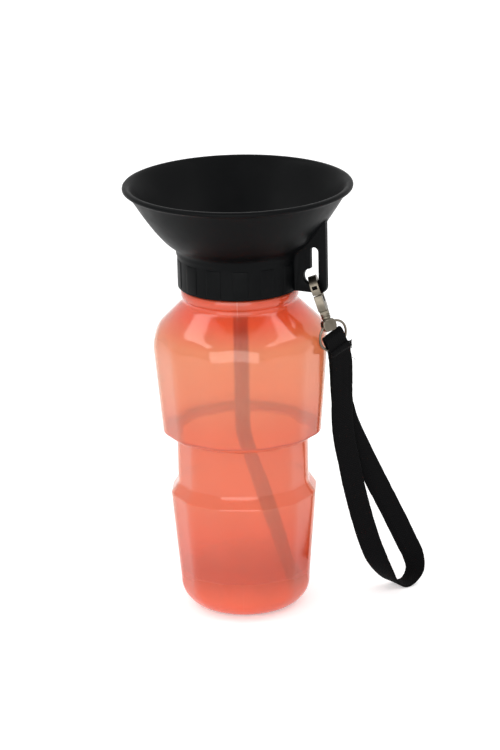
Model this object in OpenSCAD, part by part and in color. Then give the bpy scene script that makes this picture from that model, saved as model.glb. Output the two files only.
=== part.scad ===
// Travel water bottle for dogs: a soft squeeze bottle with a drinking bowl screwed on its
// mouth, a bent dip tube, and a wrist strap on a swivel snap hook that hangs in the bowl's tab.
// Millimetres. Origin: centre of the base on the table. +Z: up the bottle. +X: through the tab.

/* [Bottle] */
// Radius of the bottle's corners just above the heel
base_r = 35.6; // [30:0.1:42]
// Radius of the rounded heel
heel_r = 16; // [6:0.5:20]
// Height of the lower barrel, floor to the top of its slope
lower_h = 66; // [55:1:80]
// Radius of the lower barrel's corners at its top
lower_r = 39.8; // [37:0.1:46]
// Radius of the grip waist's corners
waist_r = 35.9; // [32:0.1:37]
// Straight height of the grip waist
waist_h = 24.6; // [16:0.1:30]
// Radius of the upper barrel's corners at its foot
upper_foot_r = 43.3; // [40:0.1:46]
// Radius of the upper barrel's corners at its top
upper_r = 47.3; // [45:0.1:52]
// Height of the upper barrel, without the shoulder
upper_h = 47.4; // [38:0.1:58]
// Wall thickness at the middle of a flat
bottle_wall = 1.2; // [0.8:0.1:2]
// Depth of the flats, as a share of the corner radius
flat_share = 0.9745; // [0.966:0.0005:0.99]
// Turn of the bottle's corners from the tab, where the thread stops
bottle_turn = 7; // [0:1:29]

/* [Mouth and thread] */
// Outer radius of the threaded mouth
mouth_r = 28.6; // [26:0.1:31]
// Wall of the threaded mouth
mouth_wall = 1.6; // [1.2:0.1:2.4]
// Length of the threaded mouth above the neck bead
mouth_h = 17.8; // [15:0.1:24]
// Pitch of the thread
pitch = 6; // [4:0.5:8]
// Turns of each thread
thread_turns = 1.25; // [1:0.05:1.5]
// How far a thread ridge stands out
ridge_h = 1.6; // [1.2:0.1:2.2]
// Gap between a thread ridge and the wall that faces it
thread_gap = 0.5; // [0.3:0.05:0.8]

/* [Bowl] */
// Radius of the bowl's rim
rim_r = 61; // [56:0.5:74]
// Height of the bowl above its collar
bowl_h = 35; // [28:0.5:45]
// Wall of the bowl
bowl_wall = 2.2; // [1.6:0.1:3]
// Outer radius of the collar between its grips
collar_r = 32.8; // [32:0.1:36]
// Height of the collar
collar_h = 20.5; // [18:0.5:26]
// How far the collar's grips stand out
grip_h = 0.6; // [0.3:0.1:1]
// Number of grips round the collar
grip_count = 14; // [10:1:20]

/* [Tab] */
// Reach of the tab from the bottle's axis
tab_reach = 50.7; // [48:0.1:56]
// Thickness of the tab
tab_t = 3.2; // [2.5:0.1:3.6]
// Height of the keyhole's top above the tab's foot
keyhole_h = 24.8; // [18:0.1:30]
// Width of the keyhole's narrow part
keyhole_w = 4.6; // [3.5:0.1:5.5]
// Radius of the keyhole's round part
keyhole_r = 4.4; // [3.8:0.1:4.8]

/* [Dip tube] */
// Outer diameter of the dip tube
tube_d = 8; // [7:0.1:9]
// Wall of the dip tube
tube_wall = 1; // [0.7:0.1:1.5]
// Height of the bend above the floor
bend_z = 97; // [80:1:120]
// Angle of the bend
bend_angle = 17; // [5:0.5:18]
// Direction the tube bends to, turned from the tab
tube_turn = 25; // [-180:5:180]
// Height of the tube's end above the floor
tube_end_z = 8; // [5:0.5:20]

/* [Snap hook] */
// Lean of the hook from straight down
hook_lean = 19.5; // [14:0.1:30]
// Length of the hook body, from the bend's middle to the swivel
hook_len = 22.8; // [22:0.1:28]
// Thickness of the hook across its flat faces
hook_t = 4.4; // [3.6:0.1:5]
// Thickness of the hook's bend, in its own plane
hook_bend_t = 2.4; // [2:0.1:3]
// Inner radius of the hook's bend
throat_r = 3.9; // [3.7:0.1:4.4]
// Turn of the hook about its own length, from square across the tab
hook_turn = 21; // [0:1:30]
// Turn of the swivel from the hook's flat face
swivel_turn = 29.8; // [0:0.1:90]

/* [Ring and strap] */
// Radius of the ring, to the middle of its wire
ring_r = 8.45; // [8:0.05:11]
// Diameter of the ring's wire
ring_wire = 1.3; // [1:0.1:1.6]
// Width of the webbing
web_w = 12; // [8:0.5:13]
// Thickness of the webbing
web_t = 1.2; // [0.8:0.1:1.25]

/* [Hidden] */
$fn = 64;

// clearances
running_gap = 0.06;
side_gap = 0.3;
eps = 0.01;
sunk = 0.5;                            // how deep joined shapes are sunk in each other

// ---- heights up the bottle ----
flats = 12;
waist_step = 7;                        // height of the slope into the waist
ledge_h = 3;                           // rise of the ledge out of the waist
ledge_round = 1.2;                     // width of the ledge's rounded outer edge
ledge_lift = 0.4;                      // rise of the ledge's inside, for its wall
waist_z = lower_h + waist_step;
ledge_z = waist_z + waist_h;
upper_z = ledge_z + ledge_h;
shoulder_z = upper_z + upper_h;
shoulder_bend_r = 16;
shoulder_slope = 45;
neck_r = mouth_r + 1.8;
bead_r = neck_r + 0.9;
bead_h = 5;
shoulder_drop = shoulder_bend_r * sin(shoulder_slope);
shoulder_in = shoulder_bend_r * (1 - cos(shoulder_slope));
neck_z = shoulder_z + shoulder_drop + upper_r - shoulder_in - neck_r;
bead_z = neck_z + 2.6;
mouth_z = bead_z + bead_h;
mouth_top = mouth_z + mouth_h;
floor_t = 1.4;
foot_recess = 0.8;
foot_outer = base_r - heel_r;
foot_inner = foot_outer - 6;
edge_r = 1.5;

// ---- heights of the bowl ----
gasket_t = 1.6;
collar_gap = 0.6;
collar_z = mouth_z + collar_gap;
floor_under = mouth_top + gasket_t;
collar_top = collar_z + collar_h;
rim_z = collar_top + bowl_h;
rim_t = 2.4;
rim_w = 3.2;
bowl_floor = floor_under + bowl_wall;
bore_r = tube_d / 2 - tube_wall;
boss_wall = 0.8;
boss_len = 26;
tube_in = 24;                          // length of tube pressed into the boss
collar_bore = mouth_r + ridge_h + thread_gap;
lip_len = 2.4;                         // plug lip round the gasket's bore
lip_wall = 1.4;
grip_share = 0.55;                     // part of a pitch that each grip fills
grip_foot = 1.4;                       // from the collar's foot to the grips
grip_len = collar_h - 6;
plug_r = mouth_r - mouth_wall - side_gap;

// ---- thread ----
thread_z = mouth_z + 4.8;
female_z = thread_z - pitch / 2;
root_w = pitch * 0.42;
crest_w = pitch * 0.2;
thread_steps = 24;                     // facets in one turn

// ---- tab ----
tab_corner = 4;
tab_root = collar_bore + 1.2;          // the plate starts inside the collar's wall
keyhole_x = tab_reach - 8.8;
keyhole_z = collar_z + 4.2 + keyhole_r;
slot_x = keyhole_x + keyhole_r - keyhole_w;

// ---- hook, measured in its own frame: x across its flat faces, -z down its length ----
hinge_x = keyhole_x + 0.4;
hinge_z = keyhole_z - 0.9;
bend_r = throat_r + hook_bend_t / 2;
hook_half = throat_r + hook_bend_t;
nose_end = 8.6;
gate_start = 9.1;
cheek_room = 0.9;                      // from the hook's middle to the cheeks' recess
throat_end = 14;
pivot_y = -3.9;
pivot_v = 15.7;
gate_end = pivot_v + 2;
gate_sheet = 0.6;
gate_open = 36;                        // angle the gate swings in
lug_t = hook_t - 2 * gate_sheet - 4 * running_gap;
pin_r = 0.45;
barrel_v = gate_end + 0.6;
barrel_in = 2;                         // length of the barrel inside the hook's foot
barrel_r = 2.5;
bore_len = 20;                         // drill length for the pin's hole
stem_r = 1.2;
head_r = 1.6;
head_h = 1;
head_v = barrel_v - 1.4;
spring_r = 0.74;
spring_wire = 0.16;
spring_pitch = 0.42;
spring_turns = 3;
spring_room = 0.25;                    // gap between the spring and its pocket

// ---- swivel eye ----
flange_r = 2.3;
flange_v = hook_len + 0.15;
flange_t = 0.75;
eye_v = flange_v + flange_t;
eye_len = 6.1;
eye_w = 5;
eye_foot_w = 4.2;
eye_t = 4.2;
eye_slot_t = 2.4;
eye_bridge = 0.45;                     // metal between the flange and the slot
eye_slot_v = eye_v + eye_bridge;
eye_slot_len = 3.6;
ring_seat = 1.34;                      // from the slot's top to the middle of the ring's wire
ring_v = eye_slot_v + ring_seat;

// ---- ring and strap: directions of the ring's plane ----
function unit(v) = v / norm(v);
function across(v, n) = v - (v * n) * n;
hook_down = [sin(hook_lean), 0, -cos(hook_lean)];
ring_across = unit([0.5, 0.749, 0.435]);
ring_down = unit(across([0.13, 0.432, -0.892], ring_across));
ring_front = cross(ring_down, ring_across);
ring_top = [hinge_x, 0, hinge_z] + ring_v * hook_down;
ring_centre = ring_top + ring_r * ring_down;

// a place near the ring: m in front of its plane, d below its centre
function by_ring(m, d) = ring_centre + m * ring_front + d * ring_down;
// direction of the webbing's width, by compass angle and rise
function width_way(a, rise) = [cos(a) * cos(rise), sin(a) * cos(rise), sin(rise)];

fold_gap = ring_wire / 2 + 0.35;
fold_m = fold_gap + web_t / 2;
layer = web_t + 0.15;
strap_steps = 3;                       // parts between two places of the strap's route

// rows of the strap's route were set out for a ring centre here; they follow it
ring_home = [51.3, 3.65, 155.7];
function hang(p) = [p[0] + ring_centre[0] - ring_home[0], p[1] + ring_centre[1] - ring_home[1],
                    p[2] * ring_centre[2] / ring_home[2]];

// the webbing's middle line, from its sewn front end round the loop and over the ring: each
// entry is a place and the direction of the width there
fold_route = [for (a = [0:30:180]) [by_ring(-fold_m * cos(a), -fold_m * sin(a)), ring_across]];
strap_route = concat(
    [[by_ring(fold_m + layer, 6.8), ring_across],
     [by_ring(fold_m + layer, 9.4), ring_across],
     [hang([53.6, 8.5, 145.2]), width_way(52, 14)],
     [hang([53.4, 10.6, 137]), width_way(48, 4)]],
    [for (p = [[52.4, 12.4, 126, 45], [51.4, 14.3, 115.5, 43], [50.4, 16.8, 103, 42],
               [50.4, 19.6, 91, 40], [51.3, 22.8, 79, 38], [52.2, 26, 66.5, 36],
               [53.5, 29.4, 54, 34], [55.4, 32.4, 41.5, 32], [57.7, 35.7, 29, 28],
               [60, 38.8, 19.5, 18], [62.5, 42.4, 11.5, 0], [65.2, 46.4, 4.7, -20],
               [69, 51, 0.9, -36], [72.2, 55.4, 1.9, -34], [74.5, 58.8, 8, -10],
               [73.8, 57.8, 16.5, 18], [71.6, 54.8, 24.5, 30], [67.9, 49.9, 37.5, 34],
               [64.3, 44.4, 50.5, 36], [60.6, 38.8, 63.5, 37], [57.5, 33, 76, 39],
               [54.3, 27.2, 89, 41], [51.6, 21.5, 102, 43], [50.4, 17, 115, 44],
               [50.7, 14.5, 126, 45]])
        [hang(p), width_way(p[3], 0)]],
    [[hang([51.2, 12.2, 137]), width_way(48, 4)],
     [hang([51.2, 9.9, 145.4]), width_way(52, 14)],
     [by_ring(-fold_m, 9.4), ring_across],
     [by_ring(-fold_m, 5), ring_across]],
    fold_route,
    [[by_ring(fold_m, 5), ring_across],
     [by_ring(fold_m, 9.4), ring_across],
     [hang([52.45, 9.2, 145.3]), width_way(52, 14)],
     [hang([52.35, 11.4, 137]), width_way(48, 4)]]);

stitch_rows = 2;
stitch_count = 5;
stitch_r = 0.25;
stitch_len = 1.5;
stitch_inset = 1.2;
stitch_row_gap = 2.6;

// ---- curves ----
function arc(c, r, a0, a1, n) =
    [for (i = [0:n]) let (a = a0 + (a1 - a0) * i / n) c + r * [cos(a), sin(a)]];
function bezier(a, b, c, n) =
    [for (i = [0:n]) let (t = i / n) (1 - t) * (1 - t) * a + 2 * t * (1 - t) * b + t * t * c];

// radius and height up the bottle's corners, floor to neck bead
function bottle_side(shrink, wall) = let (
        s = function (r) r * shrink - wall,
        heel = heel_r - wall,
        z0 = wall > 0 ? floor_t : 0,
        lift = wall > 0 ? ledge_lift : 0)
    concat(
        arc([s(base_r) - heel, z0 + heel], heel, -90, 0, 6),
        [[s(lower_r) - 0.3, lower_h - 2 * edge_r], [s(lower_r) - 0.2, lower_h],
         [s(waist_r), waist_z], [s(waist_r), ledge_z + lift],
         [s(upper_foot_r) - ledge_round, ledge_z + ledge_h / 2 + lift],
         [s(upper_foot_r), upper_z + lift]],
        arc([s(upper_r) - shoulder_bend_r, shoulder_z], shoulder_bend_r, 0, shoulder_slope, 5),
        [[neck_r - wall + 1.5, neck_z - 1.5], [neck_r - wall, neck_z]]);

// faces of a sweep of four-sided sections, as triangles
function sweep_faces(steps) = let (last = 4 * steps)
    concat([[3, 2, 1], [3, 1, 0], [last, last + 1, last + 2], [last, last + 2, last + 3]],
        [for (i = [0:steps - 1]) for (k = [0:3]) let (
            a = 4 * i + k,
            b = 4 * i + (k + 1) % 4)
            each [[a, b, b + 4], [a, b + 4, a + 4]]]);
// the same faces turned over
function turned(faces) = [for (f = faces) [f[2], f[1], f[0]]];

// a helical ridge on a cylinder, its foot buried by bury and its ends sunk in the wall
module ridge(foot_r, out, z0) {
    bury = sunk;
    steps = round(thread_turns * thread_steps);
    fade = 4;
    function height(i) = min(1, i / fade, (steps - i) / fade);
    function ring(i) = let (
            a = 360 * i / thread_steps,
            z = z0 + pitch * i / thread_steps,
            tip = foot_r + out * (-bury / ridge_h * 0.4 + (1 + bury / ridge_h * 0.4) * height(i)))
        [for (p = [[foot_r - sign(out) * bury, -root_w / 2], [tip, -crest_w / 2],
                   [tip, crest_w / 2], [foot_r - sign(out) * bury, root_w / 2]])
            [p[0] * cos(a), p[0] * sin(a), z + p[1]]];
    points = [for (i = [0:steps]) each ring(i)];
    faces = sweep_faces(steps);
    polyhedron(points, out > 0 ? faces : turned(faces));
}

// cutters for the flats between two heights, run on past each end until they leave the wall
module flats_between(z0, r0, z1, r1, below, above) {
    tilt = atan2((r1 - r0) * flat_share, z1 - z0);
    cut_w = upper_r * 1.2;
    cut_t = 20;
    for (i = [0:flats - 1])
        rotate([0, 0, (i + 0.5) * 360 / flats])
            translate([r0 * flat_share, 0, z0])
                rotate([0, tilt, 0])
                    translate([0, -cut_w / 2, -below])
                        cube([cut_t, cut_w, below + above + (z1 - z0) / cos(tilt)]);
}

module squeeze_bottle() color([1, 0.45, 0.35, 0.8]) {
    difference() {
        union() {
            rotate([0, 0, bottle_turn]) difference() {
                rotate_extrude() polygon(concat([[0, 0]], bottle_side(1, 0), [[0, neck_z]]));
                flats_between(heel_r, base_r, lower_h, lower_r, heel_r, 3);
                // the waist's flats stop just short of its slopes
                translate([0, 0, waist_z + 0.5]) difference() {
                    cylinder(r = upper_r, h = waist_h - 1);
                    translate([0, 0, -1])
                        cylinder(r = waist_r * flat_share / cos(180 / flats), h = waist_h + 1,
                                 $fn = flats);
                }
                flats_between(upper_z, upper_foot_r, shoulder_z, upper_r, 7, shoulder_drop / 2);
            }
            translate([0, 0, neck_z - eps]) cylinder(r = neck_r, h = bead_z - neck_z + 2 * eps);
            translate([0, 0, bead_z]) rotate_extrude()
                polygon([[0, 0], [bead_r - 0.5, 0], [bead_r, 0.5], [bead_r, bead_h - 0.5],
                         [bead_r - 0.5, bead_h], [0, bead_h]]);
            translate([0, 0, mouth_z - eps]) cylinder(r = mouth_r, h = mouth_h + eps);
            ridge(mouth_r, ridge_h, thread_z);
        }
        rotate_extrude() polygon(concat([[0, floor_t]], bottle_side(flat_share, bottle_wall),
            [[mouth_r - mouth_wall, neck_z + 1], [mouth_r - mouth_wall, mouth_top + 1],
             [0, mouth_top + 1]]));
        translate([0, 0, -eps]) cylinder(r = foot_inner, h = foot_recess);
    }
}

module bowl_shell() {
    lip = 0.7;
    wall_foot = [collar_r + grip_h, collar_top];
    wall_head = [rim_r - rim_w + 0.5, rim_z - rim_t];
    inner_foot = wall_foot + [-1.5, 1.6];
    inner_head = [rim_r - rim_w - 1.3, rim_z - 1.6];
    belly = [10, 8.2];
    well_r = 5;                        // rounding where the bowl's wall meets its floor
    rotate_extrude() difference() {
        polygon(concat(
            [[0, floor_under], [collar_bore - 1, floor_under], [collar_bore - 1, collar_top - 2],
             [collar_r, collar_top - 2], [collar_r + grip_h, collar_top - 1.2]],
            bezier(wall_foot, wall_foot + belly, wall_head, 7),
            [[rim_r - lip, rim_z - rim_t], [rim_r, rim_z - rim_t + lip], [rim_r, rim_z - lip],
             [rim_r - lip, rim_z], [rim_r - rim_w + lip, rim_z]],
            bezier(inner_head, inner_foot + belly, inner_foot, 7),
            arc([inner_foot[0] - well_r, bowl_floor + well_r], well_r, -40, -90, 3),
            [[bore_r + 1, bowl_floor - 0.6], [0, bowl_floor - 0.6]]));
        translate([0, floor_under - 1]) square([bore_r, bowl_wall + 3]);
    }
}

module tab() {
    difference() {
        rotate([90, 0, 0]) translate([0, 0, -tab_t / 2]) linear_extrude(tab_t) difference() {
            union() {
                translate([tab_root, collar_z])
                    square([tab_reach - tab_root - tab_corner, bowl_h]);
                translate([tab_root, collar_z + tab_corner])
                    square([tab_reach - tab_root, bowl_h + 3]);
                translate([tab_reach - tab_corner, collar_z + tab_corner]) circle(tab_corner);
            }
            translate([keyhole_x, keyhole_z]) circle(keyhole_r);
            translate([slot_x, keyhole_z])
                square([keyhole_w, collar_z + keyhole_h - keyhole_w / 2 - keyhole_z]);
            translate([slot_x + keyhole_w / 2, collar_z + keyhole_h - keyhole_w / 2])
                circle(keyhole_w / 2);
        }
        // everything above the underside of the bowl's wall is the bowl's own
        rotate_extrude() polygon([
            [0, bowl_floor], [collar_r - 0.5, collar_top], [collar_r + 9.2, collar_top + 9.6],
            [tab_reach + 6, rim_z - rim_t - 3], [tab_reach + 6, rim_z + 9], [0, rim_z + 9]]);
    }
}

module drinking_bowl() color([0.09, 0.09, 0.1]) {
    bowl_shell();
    tab();
    // collar
    translate([0, 0, collar_z]) rotate_extrude()
        polygon([[collar_bore, 0], [collar_r - 0.4, 0], [collar_r, 0.4],
                 [collar_r, collar_h - 1], [collar_bore, collar_h - 1]]);
    for (i = [0:grip_count - 1])
        rotate([0, 0, (i + 0.5 - grip_share / 2) * 360 / grip_count])
            translate([0, 0, collar_z + grip_foot])
                rotate_extrude(angle = 360 / grip_count * grip_share)
                    translate([collar_r - sunk, 0]) square([grip_h + sunk, grip_len]);
    ridge(collar_bore, -ridge_h, female_z);
    // plug lip that keeps the gasket in its place
    translate([0, 0, floor_under - lip_len]) difference() {
        cylinder(r = plug_r, h = lip_len + eps);
        translate([0, 0, -1]) cylinder(r = plug_r - lip_wall, h = 2 * lip_len);
    }
    // boss that the dip tube is pressed into
    translate([0, 0, floor_under - boss_len]) difference() {
        cylinder(r = tube_d / 2 + boss_wall, h = boss_len + eps);
        translate([0, 0, -1]) cylinder(r = tube_d / 2, h = tube_in + 1);
        cylinder(r = bore_r, h = boss_len + 1);
    }
}

module mouth_gasket() color([0.85, 0.85, 0.83]) translate([0, 0, mouth_top]) difference() {
    cylinder(r = collar_bore - 1 - side_gap, h = gasket_t);
    translate([0, 0, -1]) cylinder(r = mouth_r - mouth_wall, h = gasket_t + 2);
}

module tube_section() difference() {
    circle(tube_d / 2);
    circle(bore_r);
}

// a straight rod, a bend and a slanted rod, in one plane; the bend's ends lie inside the rods
module tube_line(r, more) {
    bend_radius = 40;
    lap = 0.3;
    reach = bend_radius * tan(bend_angle / 2);
    top_z = floor_under - boss_len + tube_in;
    slant = (bend_z - tube_end_z) / cos(bend_angle) - reach;
    translate([0, 0, bend_z + reach - lap])
        cylinder(r = r, h = top_z - bend_z - reach + lap + more);
    translate([bend_radius, 0, bend_z + reach]) rotate([-90, 0, 0])
        rotate([0, 0, 180 - bend_angle]) rotate_extrude(angle = bend_angle)
            translate([bend_radius, 0]) circle(r - eps);
    translate([0, 0, bend_z]) rotate([0, -bend_angle, 0])
        translate([0, 0, -reach - slant - more]) cylinder(r = r, h = slant + more + lap);
}

module dip_tube() color([0.93, 0.75, 0.68]) rotate([0, 0, tube_turn]) difference() {
    tube_line(tube_d / 2, 0);
    tube_line(bore_r, 1);
}

// ---- the snap hook ----
module in_hook() translate([hinge_x, 0, hinge_z]) rotate([0, -hook_lean, 0])
    rotate([0, 0, hook_turn]) children();

// a flat outline drawn as [across, up], t thick between the hook's flat faces
module hook_plate(t) rotate([90, 0, 90]) translate([0, 0, -t / 2]) linear_extrude(t) children();

module hook_body() color([0.75, 0.74, 0.68]) in_hook() difference() {
    union() {
        hook_plate(hook_t) difference() {
            union() {
                translate([0, -bend_r]) circle(hook_half);
                translate([-hook_half, -gate_end + 1]) square([2 * hook_half, gate_end - 1 - bend_r]);
                polygon([[-hook_half, -gate_end + 1.01], [hook_half, -gate_end + 1.01],
                         [barrel_r, -barrel_v - barrel_in], [-barrel_r, -barrel_v - barrel_in]]);
            }
            translate([0, -bend_r]) circle(throat_r);
            translate([-throat_r, -throat_end + throat_r])
                square([2 * throat_r, throat_end - throat_r - bend_r]);
            translate([0, -throat_end + throat_r]) circle(throat_r);
            // room for the gate
            translate([-hook_half - 1, -throat_end + 1]) square([hook_half + 1, throat_end - 1 - nose_end]);
            translate([-hook_half - 1, -barrel_v + 0.4])
                square([hook_half + 1 + pivot_y - 0.8, barrel_v - nose_end - 0.4]);
            translate([pivot_y, -pivot_v]) rotate(-gate_open - 2)
                translate([-hook_half - gate_sheet, 0]) square([hook_half - 0.2, hook_half]);
        }
        translate([0, 0, -hook_len]) cylinder(r = barrel_r, h = hook_len - barrel_v + barrel_in);
    }
    // cheeks of the gate pass each side of the lug
    for (side = [-1, 1])
        translate([side * (lug_t / 2 + 5) - 5, -hook_half - 1, -barrel_v])
            cube([10, hook_half + 1 - cheek_room, barrel_v - throat_end + 3]);
    translate([0, pivot_y, -pivot_v]) rotate([0, 90, 0]) cylinder(r = pin_r, h = bore_len, center = true);
    // pocket of the gate spring
    translate([0, pivot_y, -pivot_v]) rotate([0, 90, 0])
        cylinder(r = spring_r + spring_wire + spring_room,
                 h = spring_turns * spring_pitch + 2 * spring_room + 0.2, center = true);
    // swivel bore and the pocket of its head
    translate([0, 0, -hook_len - 1]) cylinder(r = stem_r + running_gap, h = hook_len);
    translate([0, 0, -head_v - head_h - 0.1]) cylinder(r = head_r + 0.15, h = 8);
}

module hook_gate() color([0.72, 0.71, 0.66]) in_hook() difference() {
    hook_plate(hook_t) difference() {
        union() {
            translate([-hook_half, -gate_end]) square([hook_half - 2.9, gate_end - gate_start - 1]);
            translate([-hook_half, -gate_start - 1.01]) square([1.6, 1.01]);
            // finger rib
            translate([-hook_half - 0.5, -gate_start - 4.2]) square([1, 0.9]);
        }
        // the lower inner corner is cut back so that it clears the hook
        translate([pivot_y + 0.6, -gate_end - 0.01])
            polygon([[0, 0], [1, 0], [1, 1.3]]);
    }
    translate([-lug_t / 2 - 2 * running_gap, -hook_half + gate_sheet, -gate_end - 1])
        cube([lug_t + 4 * running_gap, 5, gate_end]);
    translate([0, pivot_y, -pivot_v]) rotate([0, 90, 0])
        cylinder(r = pin_r + running_gap, h = bore_len, center = true);
}

module gate_pin() color([0.6, 0.6, 0.58]) in_hook()
    translate([0, pivot_y, -pivot_v]) rotate([0, 90, 0]) cylinder(r = pin_r, h = hook_t, center = true);

// a square-section coil round the pin
module gate_spring() {
    per_turn = 12;
    steps = spring_turns * per_turn;
    function mid(i) = [(i / per_turn - spring_turns / 2) * spring_pitch, i * 360 / per_turn];
    points = [for (i = [0:steps]) for (c = [[-1, -1], [1, -1], [1, 1], [-1, 1]])
        let (m = mid(i), r = spring_r + c[1] * spring_wire)
            [m[0] + c[0] * spring_wire, pivot_y + r * cos(m[1]), -pivot_v + r * sin(m[1])]];
    color([0.55, 0.55, 0.53]) in_hook() polyhedron(points, sweep_faces(steps));
}

module swivel_eye() color([0.75, 0.74, 0.68]) in_hook() {
    translate([0, 0, -head_v - head_h]) cylinder(r = head_r, h = head_h);
    translate([0, 0, -eye_v]) cylinder(r = stem_r, h = eye_v - head_v - head_h + eps);
    translate([0, 0, -eye_v - 0.4]) cylinder(r = flange_r, h = eye_v - flange_v + 0.4);
    rotate([0, 0, swivel_turn]) difference() {
        rotate([90, 0, 0]) translate([0, 0, -eye_t / 2]) linear_extrude(eye_t)
            polygon([[-eye_w / 2, -eye_v], [eye_w / 2, -eye_v],
                     [eye_w / 2, -eye_v - eye_len / 2], [eye_foot_w / 2, -eye_v - eye_len],
                     [-eye_foot_w / 2, -eye_v - eye_len], [-eye_w / 2, -eye_v - eye_len / 2]]);
        translate([-eye_w, -eye_slot_t / 2, -eye_slot_v - eye_slot_len])
            cube([2 * eye_w, eye_slot_t, eye_slot_len]);
    }
}

// turns +Z to a direction
module along(v) rotate([0, acos(v[2] / norm(v)), atan2(v[1], v[0])]) children();

module strap_ring() color([0.75, 0.74, 0.68])
    translate(ring_centre) along(ring_front) rotate_extrude()
        translate([ring_r, 0]) circle(ring_wire / 2);

// a smooth curve through rows of a table, rounded by parts steps between two rows
function smooth(rows, parts) = let (n = len(rows)) concat(
    [for (i = [0:n - 2]) for (j = [0:parts - 1]) let (
        a = rows[max(0, i - 1)],
        b = rows[i],
        c = rows[i + 1],
        d = rows[min(n - 1, i + 2)],
        t = j / parts)
        b + t / 2 * ((c - a) + t * ((2 * a - 5 * b + 4 * c - d) + t * (3 * (b - c) + d - a)))],
    [rows[n - 1]]);

module wrist_strap() {
    places = smooth([for (row = strap_route) row[0]], strap_steps);
    widths = smooth([for (row = strap_route) row[1]], strap_steps);
    n = len(places);
    function section(i) = let (
            t = unit(places[min(i + 1, n - 1)] - places[max(i - 1, 0)]),
            w = unit(across(widths[i], t)),
            f = cross(t, w))
        [for (c = [[-1, -1], [1, -1], [1, 1], [-1, 1]])
            places[i] + c[0] * w * web_w / 2 + c[1] * f * web_t / 2];
    color([0.08, 0.08, 0.09])
        polyhedron([for (i = [0:n - 1]) each section(i)], sweep_faces(n - 1));
}

// rows of thread across the front of the sewn end
module strap_stitching() {
    top = strap_route[1][0];
    run = unit(strap_route[2][0] - top);
    w = unit(across(ring_across, run));
    face = cross(w, run);
    stitch_pitch = (web_w - 3) / (stitch_count - 1);
    color([0.16, 0.16, 0.17])
        for (row = [0:stitch_rows - 1]) for (i = [0:stitch_count - 1])
            translate(top + run * (stitch_inset + stitch_row_gap * row)
                      + face * web_t / 2 + w * stitch_pitch * (i - (stitch_count - 1) / 2))
                along(w) cylinder(r = stitch_r, h = stitch_len, center = true, $fn = 24);
}

squeeze_bottle();
drinking_bowl();
mouth_gasket();
dip_tube();
hook_body();
hook_gate();
gate_pin();
gate_spring();
swivel_eye();
strap_ring();
wrist_strap();
strap_stitching();
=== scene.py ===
"""A dog's travel bottle: a frosted squeeze bottle with a drinking bowl screwed on its mouth,
a bent dip tube, and a webbing wrist strap on a swivel snap hook that hangs in the bowl's tab.

Sizes in the code are millimetres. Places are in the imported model's own frame: +Z up the
bottle, +X through the tab, the origin in the middle of the bottle's foot.
"""
import math
import random

import bmesh
import bpy
from bpy.props import FloatProperty, FloatVectorProperty, PointerProperty
from mathutils import Matrix, Vector


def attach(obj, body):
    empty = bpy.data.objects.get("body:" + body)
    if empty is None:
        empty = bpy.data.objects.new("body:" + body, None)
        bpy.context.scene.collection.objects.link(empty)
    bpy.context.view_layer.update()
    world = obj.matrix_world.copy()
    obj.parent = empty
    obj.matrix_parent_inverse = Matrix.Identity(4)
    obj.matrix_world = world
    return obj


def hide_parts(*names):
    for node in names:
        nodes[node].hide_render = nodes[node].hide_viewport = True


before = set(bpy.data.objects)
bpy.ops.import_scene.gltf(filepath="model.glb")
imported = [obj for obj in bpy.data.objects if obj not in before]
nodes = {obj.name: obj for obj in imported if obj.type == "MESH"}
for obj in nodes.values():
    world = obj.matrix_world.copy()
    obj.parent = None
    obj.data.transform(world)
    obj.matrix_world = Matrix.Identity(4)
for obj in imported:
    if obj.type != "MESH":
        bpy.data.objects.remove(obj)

bl_info = {
    "name": "Dog travel bottle",
    "version": (1, 0, 0),
    "blender": (4, 5, 0),
    "location": "3D View > Sidebar > Travel bottle",
    "description": "Models a travel water bottle for dogs, with its bowl, snap hook and strap",
    "category": "Add Mesh",
}

MM = 0.001
PITCH = 30                  # degrees between the barrel's corners
CORNER_TURN = 7             # degrees from the tab to the first corner
MOUTH_TOP = 196.93
COLLAR_FOOT = 179.73
COLLAR_R = 32.8
THREAD_TURN = 450           # degrees that a thread's ridge goes round, in steps of six
THREAD_STEP = 6
THREAD_RISE = 7.5


def to_linear(code):
    """The linear colour that an sRGB hex code stands for."""
    parts = [int(code[i:i + 2], 16) / 255 for i in (0, 2, 4)]
    return [p / 12.92 if p <= 0.04045 else ((p + 0.055) / 1.055) ** 2.4 for p in parts] + [1.0]


def colour_of(name, code, description):
    """A colour that the panel shows, with an sRGB hex code as its default."""
    return FloatVectorProperty(name=name, description=description, subtype="COLOR", size=4,
                               min=0, max=1, default=to_linear(code))


# ---- working by hand: selecting, turning and joining ----

def begin():
    """Leaves edit mode with nothing selected, as before each new piece."""
    if bpy.context.object and bpy.context.object.mode != "OBJECT":
        bpy.ops.object.mode_set(mode="OBJECT")
    bpy.ops.object.select_all(action="DESELECT")


def hold(*pieces):
    """Selects these pieces alone, the first of them active."""
    begin()
    for piece in pieces:
        piece.select_set(True)
    bpy.context.view_layer.objects.active = pieces[0]
    return pieces[0]


def take_all():
    """In edit mode, selects the whole mesh."""
    bpy.ops.mesh.select_all(action="SELECT")


def edit(piece):
    """Opens a piece in edit mode, selected all over."""
    hold(piece)
    bpy.ops.object.mode_set(mode="EDIT")
    take_all()


def pick(kind, test):
    """In edit mode, selects only the VERT, EDGE or FACE parts that pass a test."""
    bpy.ops.mesh.select_mode(type=kind)
    bpy.ops.mesh.select_all(action="DESELECT")
    mesh = bmesh.from_edit_mesh(bpy.context.object.data)
    mesh.normal_update()
    found = 0
    for part in {"VERT": mesh.verts, "EDGE": mesh.edges, "FACE": mesh.faces}[kind]:
        if test(part):
            part.select_set(True)
            found += 1
    mesh.select_flush_mode()
    bmesh.update_edit_mesh(bpy.context.object.data)
    return found


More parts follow.
